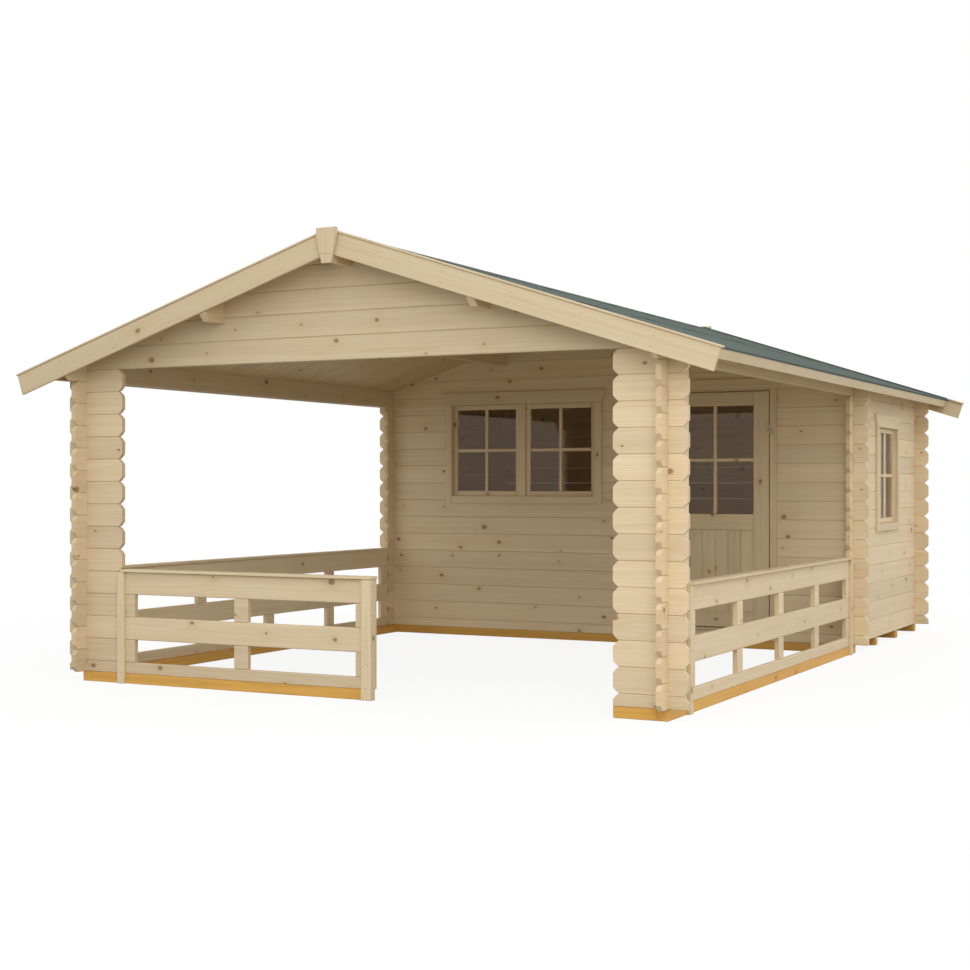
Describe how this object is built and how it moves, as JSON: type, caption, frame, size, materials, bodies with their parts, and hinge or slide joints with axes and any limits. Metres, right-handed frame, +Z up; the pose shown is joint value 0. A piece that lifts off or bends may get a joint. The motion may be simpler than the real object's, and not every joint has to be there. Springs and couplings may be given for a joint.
{
  "type": "log cabin with covered terrace",
  "caption": "Garden log cabin with crossed log corners, a low gable roof that runs on over a deep railed terrace, a half-glazed hinged door and paned windows.",
  "frame": {"origin": "on the ground under the middle of the building, halfway across and halfway from the front keystone board to the rear one", "axes": "+X to the right seen from the terrace front, +Y from the terrace front to the rear wall along the ridge, +Z up"},
  "size_m": [4.4718, 6.138, 2.5833],
  "materials": {
    "log_pine": "planed pine logs, untreated, small brown knots",
    "beam_pine": "sawn pine purlins, untreated",
    "trim_pine": "planed pine boards, untreated",
    "joinery_pine": "planed pine joinery, untreated",
    "floor_pine": "planed tongue and groove floor boards",
    "roof_boards": "tongue and groove roof boards, planed below",
    "impregnated_pine": "pressure treated beams, ochre",
    "roof_felt": "mineral surfaced bitumen roofing felt, slate grey",
    "pane_glass": "clear pane",
    "satin_steel": "satin lever handle",
    "zinc_steel": "zinc plated lift-off hinge"
  },
  "bodies": {
    "cabin": {"terrace_base_beams": "impregnated_pine", "floor_joists": "impregnated_pine", "cabin_floor": "floor_pine", "left_front_post": "log_pine", "right_front_post": "log_pine", "front_gable": "log_pine", "front_wall_left": "log_pine", "front_wall_right": "log_pine", "front_wall_threshold": "log_pine", "cabin_front_gable": "log_pine", "left_wall": "log_pine", "right_wall": "log_pine", "rear_wall": "log_pine", "left_eaves_beam": "log_pine", "right_eaves_beam": "log_pine", "ridge_purlin": "beam_pine", "side_purlins": "beam_pine", "roof_boards_left": "roof_boards", "roof_boards_right": "roof_boards", "roof_felt_left": "roof_felt", "roof_felt_right": "roof_felt", "eaves_fascias": "trim_pine", "front_bargeboards": "trim_pine", "rear_bargeboards": "trim_pine", "verge_strips": "trim_pine", "finials": "trim_pine", "front_railing": "log_pine", "left_railing": "log_pine", "right_railing": "log_pine", "railing_caps": "trim_pine", "railing_cover_strips": "trim_pine", "front_railing_end_boards": "trim_pine", "door_frame": "joinery_pine", "door_header": "joinery_pine", "door_hinge_pins": "zinc_steel", "window_frames": "joinery_pine", "window_sashes": "joinery_pine", "window_glass": "pane_glass", "window_casings": "joinery_pine"},
    "door": {"door_leaf_frame": "joinery_pine", "door_panel": "joinery_pine", "door_glass": "pane_glass", "door_handle": "satin_steel", "door_hinge_sleeves": "zinc_steel"}
  },
  "joints": [
    {"name": "door_hinge", "type": "hinge", "parent": "cabin", "child": "door", "pos_m": [1.28025, 0.81, 1], "axis": [0, 0, 1], "range_deg": [0, 110]}
  ]
}
